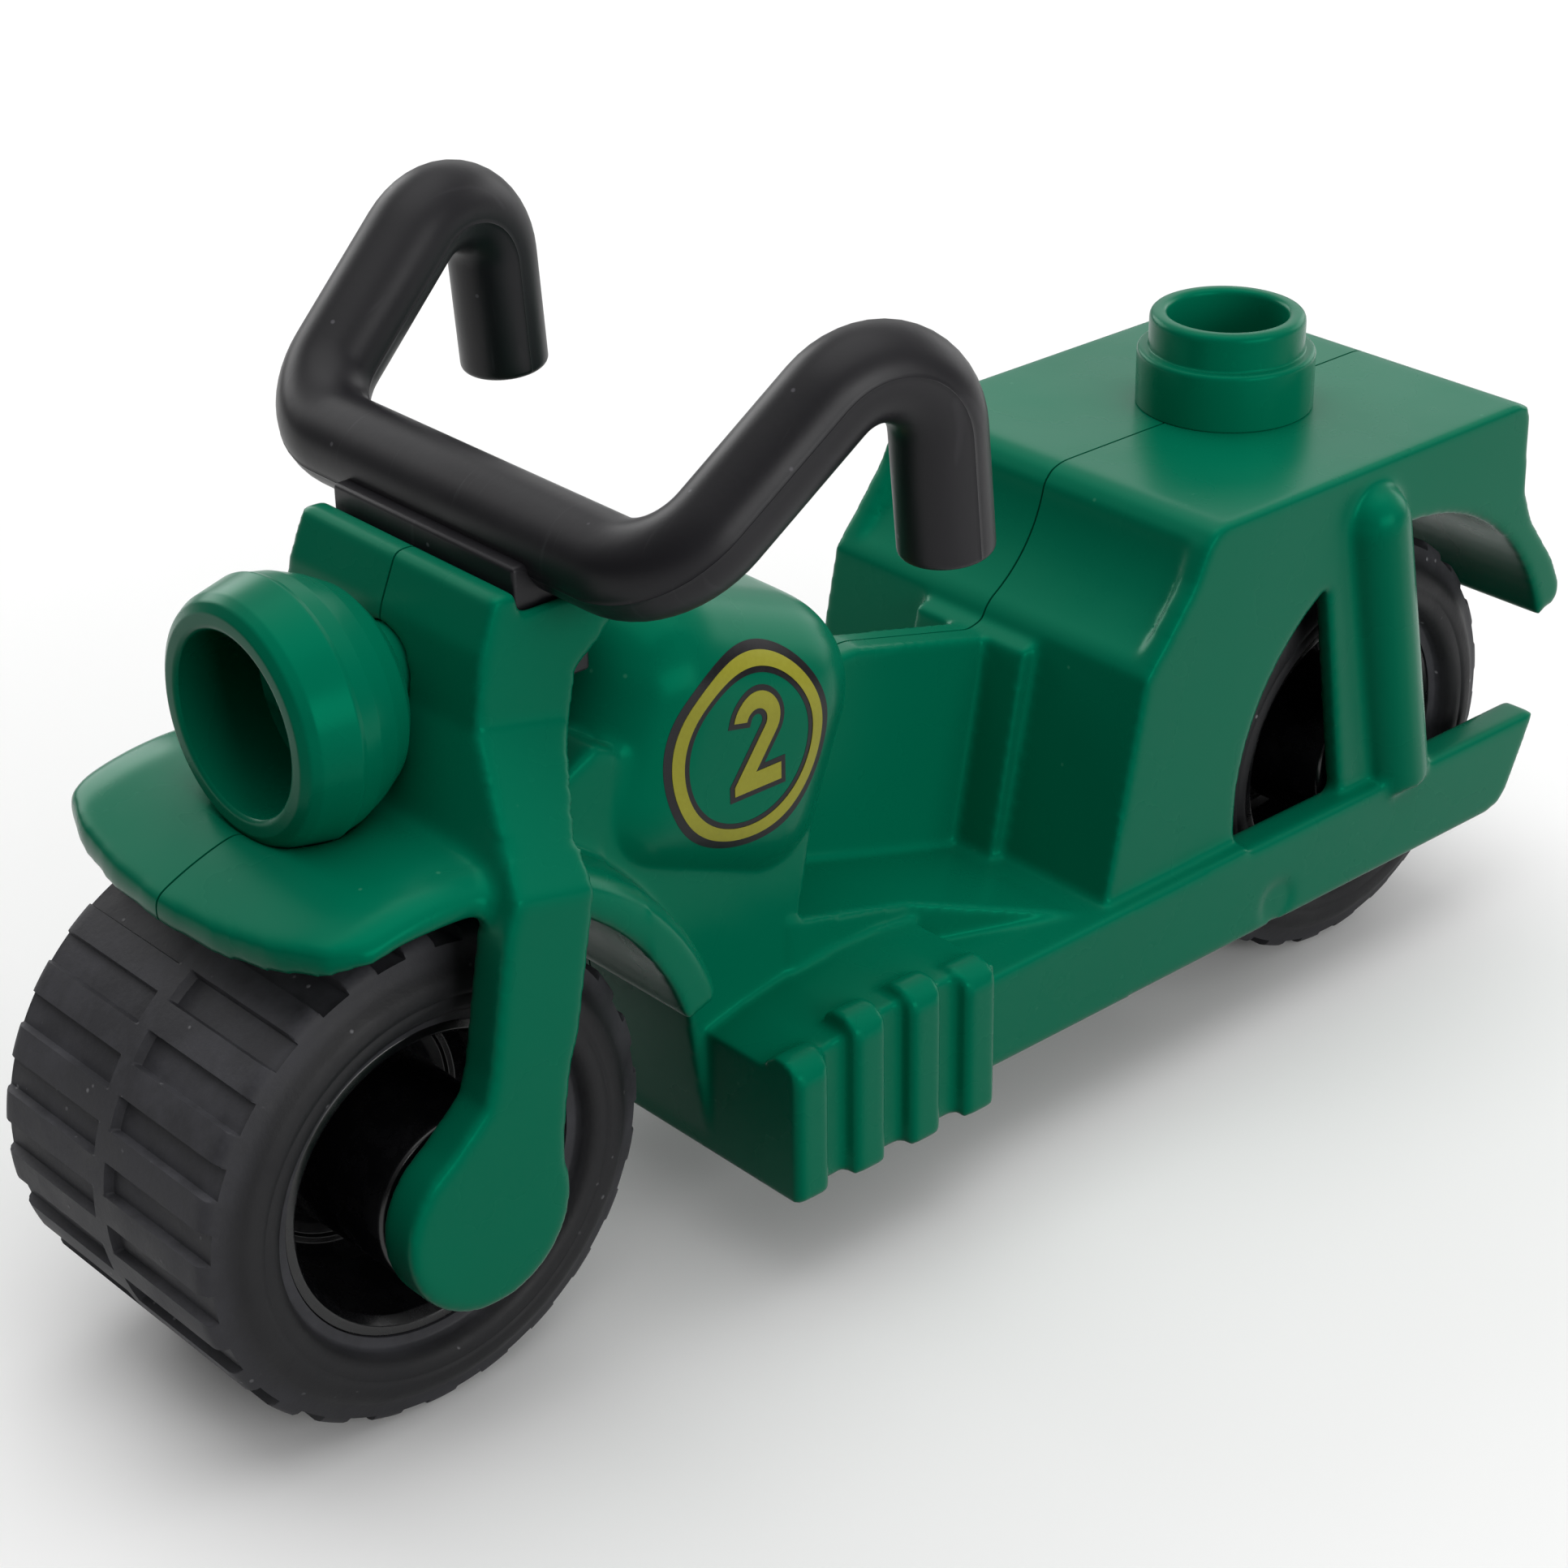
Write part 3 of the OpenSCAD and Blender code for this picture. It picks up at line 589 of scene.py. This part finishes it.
def swept(line, radius, end_round, seam):
    """A closed round bar along a path, its ends softened, with a fine ridge along two sides."""
    longest = 0.8 * mm
    dense = [line[0]]
    for a, b in zip(line, line[1:]):
        count = max(1, round((b - a).length / longest))
        dense += [a.lerp(b, k / count) for k in range(1, count + 1)]
    first = (dense[1] - dense[0]).normalized()
    last = (dense[-1] - dense[-2]).normalized()
    # how far in from the end, and how much narrower, each of the rounding's seven rings is
    ease = [(end_round * (1 - math.cos(t * math.pi / 12)), end_round * (1 - math.sin(t * math.pi / 12)))
            for t in range(7)]
    rings = [(dense[0] + first * run, radius - drop) for run, drop in ease]
    rings += [(p, radius) for p in dense[1:-1]]
    rings += [(dense[-1] - last * run, radius - drop) for run, drop in reversed(ease)]
    # three points close together on each side carry the ridge, which stops short of the rounded ends
    ridge_turn = 0.02
    steps = 32
    turns = []
    for half in (0, math.pi):
        turns += [half - ridge_turn, half, half + ridge_turn]
        turns += [half + math.pi * k / steps for k in range(1, steps)]
    verts = []
    way = first
    out_way = Vector((1, 0, 0))
    out_way = (out_way - way * out_way.dot(way)).normalized()
    for i, (centre, size) in enumerate(rings):
        ahead = rings[min(i + 1, len(rings) - 1)][0] - rings[max(i - 1, 0)][0]
        ahead = ahead.normalized() if ahead.length > 1e-7 else way
        out_way = (way.rotation_difference(ahead) @ out_way).normalized()
        way = ahead
        cross = way.cross(out_way)
        for angle in turns:
            lift = seam if abs(math.sin(angle)) < 1e-6 and size > radius - 0.05 * mm else 0
            verts.append(centre + (out_way * math.cos(angle) + cross * math.sin(angle)) * (size + lift))
    count = len(turns)
    faces = [(k * count + i, k * count + (i + 1) % count, (k + 1) * count + (i + 1) % count,
              (k + 1) * count + i) for k in range(len(rings) - 1) for i in range(count)]
    faces += [tuple(reversed(range(count))), tuple(range(len(verts) - count, len(verts)))]
    return verts, faces


# polypropylene, satin black: a fine even matt skin, scuffed paler along a few long hairs, with dust
satin_black, tree, out, spot = new_material("satin_black_polypropylene")
mist = noise(tree, spot, 9 * mm, 4.0)
tone = mixed(tree, mist, "#121115", "#18171b")
slant = add(tree, "ShaderNodeMapping", {"Vector": spot, "Rotation": (0.5, 0.2, 0.9),
                                        "Scale": (1.0, 0.05, 0.12)})
hair = noise(tree, slant.outputs["Vector"], 0.4 * mm, 1.0, bend=0.4)
scuff = mapped(tree, hair, 0.68, 0.8, 0.0, 0.1)
marked = computed(tree, "MAXIMUM", scuff, flecks(tree, spot, 2.4 * mm, 0.03, 0.06, 0.6))
dull = mapped(tree, mist, 0.3, 0.7, 0.34, 0.46)
# a scuff is cut a little below the grain
cut = computed(tree, "MULTIPLY_ADD", marked, -0.8, noise(tree, spot, 0.5 * mm, 3.0))
surfaced(tree, out, mixed(tree, marked, tone, "#626066"), dull,
         {"IOR": 1.49, "Specular IOR Level": 0.3, "Normal": bumped(tree, cut, 0.3, 0.02 * mm)})


def soft_block(low, high, radius, finish):
    """A closed block with rounded edges."""
    body = bmesh.new()
    bmesh.ops.create_cube(body, size=1)
    for v in body.verts:
        v.co = [(low[i] + high[i]) / 2 + v.co[i] * (high[i] - low[i]) for i in range(3)]
    bmesh.ops.bevel(body, geom=body.edges[:], offset=radius, segments=4, profile=0.5, affect="EDGES")
    return settled("soft_block", body, finish)


verts, faces = swept(bent_path(bar_stops, bar_bends, 0.5 * mm), bar_r - bar_margin, bar_end_round,
                     parting_ridge)
bare_bar = closed_mesh("bare_handlebar", verts, faces, satin_black)
tab = placed("handlebar_tab", soft_block(tab_low, tab_high, 0.25 * mm, satin_black))
whole = worked(bare_bar, "BOOLEAN", operation="UNION", solver="EXACT", object=tab)
bpy.data.objects.remove(tab)
bar = placed("bent_handlebar", whole)
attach(bar, "body")
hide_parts("handlebar")

# ---------- the two shells ----------
# Left and right half of the body: mudguard, fork legs, tank, footrests, seat, box, rails and struts.
# Injection-moulded in glossy green ABS with softened edges, and welded together along the middle.

skin_size = 0.21 * mm
kept_share = 0.51
smooth_rounds = 24
even_rounds = 8
crisp_rounds = 4
seam_half = 0.07 * mm
seam_depth = 0.3 * mm
half_gap = 0.004 * mm
shell_green = green_abs("glossy_green_abs_shell", (0, 0, 0))


def whole_body():
    """The outside of both shells as one closed skin, without the hollows inside it."""
    # the left shell without its joint faces, mirrored and welded to its image along the middle
    weld = 2e-6
    on_plane = 3e-6
    body = bmesh.new()
    body.from_mesh(frame["nodes"]["left_shell"].data)
    bmesh.ops.remove_doubles(body, verts=body.verts, dist=weld)
    for v in body.verts:
        if abs(v.co.x) < on_plane:
            v.co.x = 0
    joint = [f for f in body.faces if all(v.co.x == 0 for v in f.verts)]
    bmesh.ops.delete(body, geom=joint, context="FACES")
    bmesh.ops.mirror(body, geom=body.verts[:] + body.edges[:] + body.faces[:], axis="X",
                     merge_dist=weld)
    bmesh.ops.remove_doubles(body, verts=body.verts, dist=weld)
    # the outer skin is the connected part with the most vertices; the walls of the hollows go
    loose = set(body.verts)
    parts = []
    while loose:
        open_verts = [loose.pop()]
        part = set(open_verts)
        while open_verts:
            v = open_verts.pop()
            for e in v.link_edges:
                w = e.other_vert(v)
                if w in loose:
                    loose.remove(w)
                    part.add(w)
                    open_verts.append(w)
        parts.append(part)
    parts.sort(key=len)
    bmesh.ops.delete(body, geom=[v for p in parts[:-1] for v in p], context="VERTS")
    bmesh.ops.recalc_face_normals(body, faces=body.faces)
    return settled("whole_body", body)


def softened(data, size):
    """A closed skin remade in even small faces and relaxed, so that its edges turn soft and round."""
    skin = worked(data, "REMESH", mode="VOXEL", voxel_size=size)
    count = len(skin.vertices)
    spots = np.empty(count * 3)
    skin.vertices.foreach_get("co", spots)
    spots = spots.reshape(-1, 3)
    ends = np.empty(len(skin.edges) * 2, dtype=np.int64)
    skin.edges.foreach_get("vertices", ends)
    ends = ends.reshape(-1, 2)
    near = np.bincount(ends.ravel(), minlength=count)
    # the tank and the thin mudguard are smoother than the rest, the ribs and the seat floor crisper;
    # x is the distance from the middle plane, y and z are measured from the front axle
    x, y, z = np.abs(spots[:, 0]), spots[:, 1] - front_y, spots[:, 2] - axle_z
    tank = (x < 10.6 * mm) & (y > 13 * mm) & (y < 32 * mm) & (z > 8 * mm)
    tank &= (z > 14 * mm) | (x > 8.9 * mm)
    guard = (x < 12.8 * mm) & (y < 12 * mm) & (np.hypot(y, z) > 15 * mm) & (np.hypot(y, z) < 19.6 * mm)
    ribs = (x > 13.3 * mm) & (y > 17 * mm) & (y < 36 * mm)
    seat = (y > 17 * mm) & (y < 46 * mm) & (z < 14 * mm)
    rounds = np.where(tank | guard, smooth_rounds, np.where(ribs | seat, crisp_rounds, even_rounds))
    for turn in range(smooth_rounds):
        total = np.stack([np.bincount(ends[:, 0], spots[ends[:, 1], k], count)
                          + np.bincount(ends[:, 1], spots[ends[:, 0], k], count) for k in range(3)], 1)
        moving = (rounds > turn)[:, None]
        spots = np.where(moving, spots * 0.5 + 0.5 * total / near[:, None], spots)
    skin.vertices.foreach_set("co", spots.ravel())
    skin.update()
    # flat and gently curved places need fewer faces than the edges do
    return worked(skin, "DECIMATE", ratio=kept_share)


def one_side(skin, name, way):
    """The half of the skin on one side, closed in the middle, with half a joint groove round it."""
    body = bmesh.new()
    body.from_mesh(skin)
    bmesh.ops.bisect_plane(body, geom=body.verts[:] + body.edges[:] + body.faces[:], dist=1e-7,
                           plane_co=(way * seam_half, 0, 0), plane_no=(way, 0, 0), clear_inner=True)
    # the cut rim runs inwards to the groove's floor, then to the middle plane, where it is filled
    rim = [e for e in body.edges if len(e.link_faces) == 1]
    inward = {}
    for e in rim:
        for v in e.verts:
            n = sum((f.normal for f in v.link_faces), Vector())
            n.x = 0
            inward[v] = -n.normalized() if n.length > 1e-9 else Vector()
    grown_rim = bmesh.ops.extrude_edge_only(body, edges=rim)["geom"]
    new_edges = [g for g in grown_rim if isinstance(g, bmesh.types.BMEdge)]
    for v in [g for g in grown_rim if isinstance(g, bmesh.types.BMVert)]:
        for e in v.link_edges:
            w = e.other_vert(v)
            if w in inward:
                source = w
        v.co += inward[source] * seam_depth
    floor_rim = bmesh.ops.extrude_edge_only(body, edges=new_edges)["geom"]
    last_edges = [g for g in floor_rim if isinstance(g, bmesh.types.BMEdge)]
    for v in [g for g in floor_rim if isinstance(g, bmesh.types.BMVert)]:
        v.co.x = way * half_gap
    bmesh.ops.triangle_fill(body, edges=last_edges, use_beauty=True, use_dissolve=False)
    # edges that still have an odd number of faces get the last few
    odd = [e for e in body.edges if len(e.link_faces) % 2]
    bmesh.ops.triangle_fill(body, edges=odd, use_beauty=True, use_dissolve=False)
    bmesh.ops.recalc_face_normals(body, faces=body.faces)
    return placed(name, settled(name, body, shell_green), 50)


body_skin = softened(whole_body(), skin_size)
for name, way in (("left", 1), ("right", -1)):
    shell = one_side(body_skin, name + "_body_shell", way)
    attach(shell, "body")
    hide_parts(name + "_shell")

# ---------- printed roundels ----------
# A racing number in a ring on each side of the tank, pad printed in two inks: a black ground first, then
# a muted yellow on top of it. Each ink is a film a few hundredths of a millimetre thick.

print_y = front_y + 20.9 * mm
print_z = 30.75 * mm
ring_edges = {"black": (4.05 * mm, 5.53 * mm), "yellow": (4.35 * mm, 5.07 * mm)}
film = {"black": 0.02 * mm, "yellow": 0.05 * mm}
film_sink = 0.03 * mm
black_edge = 0.31 * mm
ring_sides = 160
ring_strips = 4
grid = 0.21 * mm
grid_lines = 14

# the figure's outline: the inside of its arc, the outside of its arc and its foot
arc_up = 1.02
arc_in = 0.62
arc_out = 1.42
figure = [(arc_in * math.cos(a), arc_up + arc_in * math.sin(a))
          for a in np.radians(np.linspace(-38, 168, 16))]
figure += [(arc_out * math.cos(a), arc_up + arc_out * math.sin(a))
           for a in np.radians(np.linspace(168, -38, 26))]
figure += [(-0.12, -1.55), (1.42, -1.55), (1.42, -2.42), (-1.42, -2.42), (-1.42, -1.95)]
figure_size = 1.12
figure_shift = Vector((0.5, 0.35))
figure = [(Vector(p) * figure_size + figure_shift) * mm for p in figure]


def ink(name, dark, light):
    """Pad printing ink: an even film, slightly mottled where the pad left it thin, gloss as the plastic."""
    mat, tree, out, spot = new_material(name)
    # mottle about 0.3 mm across
    thin = noise(tree, spot, 0.3 * mm, 3.0)
    surfaced(tree, out, mixed(tree, thin, dark, light), mapped(tree, thin, 0.0, 1.0, 0.25, 0.38),
             {"IOR": 1.5, "Specular IOR Level": 0.25, "Normal": bumped(tree, thin, 0.2, 0.01 * mm)})
    return mat


inks = {"black": ink("black_pad_ink", "#100f12", "#1b191d"),
        "yellow": ink("muted_yellow_pad_ink", "#98952c", "#a5a237")}


def widened(outline, by):
    """A closed outline moved outwards by a distance, with its corners kept square."""
    # a corner moves out along its bisector, but a very sharp one is held back
    sharpest = 0.45
    wide = []
    for i, here in enumerate(outline):
        into = (here - outline[i - 1]).normalized()
        onto = (outline[(i + 1) % len(outline)] - here).normalized()
        out_in = Vector((-into.y, into.x))
        out_on = Vector((-onto.y, onto.x))
        mid = (out_in + out_on).normalized()
        wide.append(here + mid * by / max(mid.dot(out_in), sharpest))
    return wide


def print_mesh(colour, way, tank_skin):
    """One ink of one roundel: its ring and figure, laid on the tank's side and given their thickness."""
    body = bmesh.new()
    low, high = ring_edges[colour]
    # the ring, a few strips wide
    lines = []
    for k in range(ring_strips + 1):
        r = low + (high - low) * k / ring_strips
        turns = [2 * math.pi * i / ring_sides for i in range(ring_sides)]
        lines.append([body.verts.new((0, r * math.cos(t), r * math.sin(t))) for t in turns])
    for inner, outer in zip(lines, lines[1:]):
        for i in range(ring_sides):
            j = (i + 1) % ring_sides
            body.faces.new((inner[i], outer[i], outer[j], inner[j]))
    # the figure, cut along a square grid so that it can follow the round of the tank
    shape = widened(figure, black_edge) if colour == "black" else figure
    numeral = body.faces.new([body.verts.new((0, p.x * way, p.y)) for p in shape])
    numeral.normal_update()
    bmesh.ops.triangulate(body, faces=[numeral])
    for axis in (1, 2):
        for k in range(-grid_lines, grid_lines + 1):
            place, facing = [0, 0, 0], [0, 0, 0]
            place[axis] = k * grid + 0.003 * mm
            facing[axis] = 1
            inside = [f for f in body.faces if f.calc_center_median().length < low]
            loops = {e for f in inside for e in f.edges} | {v for f in inside for v in f.verts}
            bmesh.ops.bisect_plane(body, geom=list(loops) + inside, dist=1e-8, plane_co=place,
                                   plane_no=facing)
    bmesh.ops.remove_doubles(body, verts=body.verts[:], dist=0.008 * mm)
    bmesh.ops.triangulate(body, faces=body.faces[:])
    body.normal_update()
    for f in body.faces:
        if f.normal.x * way < 0:
            f.normal_flip()
    # laid on the tank, proud of it by the film's thickness, with a back just under the tank's skin
    for v in body.verts:
        y, z = print_y + v.co.y, print_z + v.co.z
        hit = tank_skin.ray_cast(Vector((way * 20 * mm, y, z)), Vector((-way, 0, 0)))
        v.co = hit[0] + hit[1] * film[colour]
    front = body.faces[:]
    extruded = bmesh.ops.extrude_face_region(body, geom=front, use_keep_orig=True)["geom"]
    for v in extruded:
        if isinstance(v, bmesh.types.BMVert):
            v.co.x -= way * (film[colour] + film_sink)
    bmesh.ops.recalc_face_normals(body, faces=body.faces)
    return settled(colour + "_print", body, inks[colour])


for name, way in (("left", 1), ("right", -1)):
    half = bpy.data.objects[name + "_body_shell"].data
    tank_skin = BVHTree.FromPolygons([v.co for v in half.vertices],
                                     [tuple(p.vertices) for p in half.polygons])
    for colour in ("black", "yellow"):
        mark = placed(f"{name}_roundel_{colour}", print_mesh(colour, way, tank_skin), 50)
        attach(mark, "body")
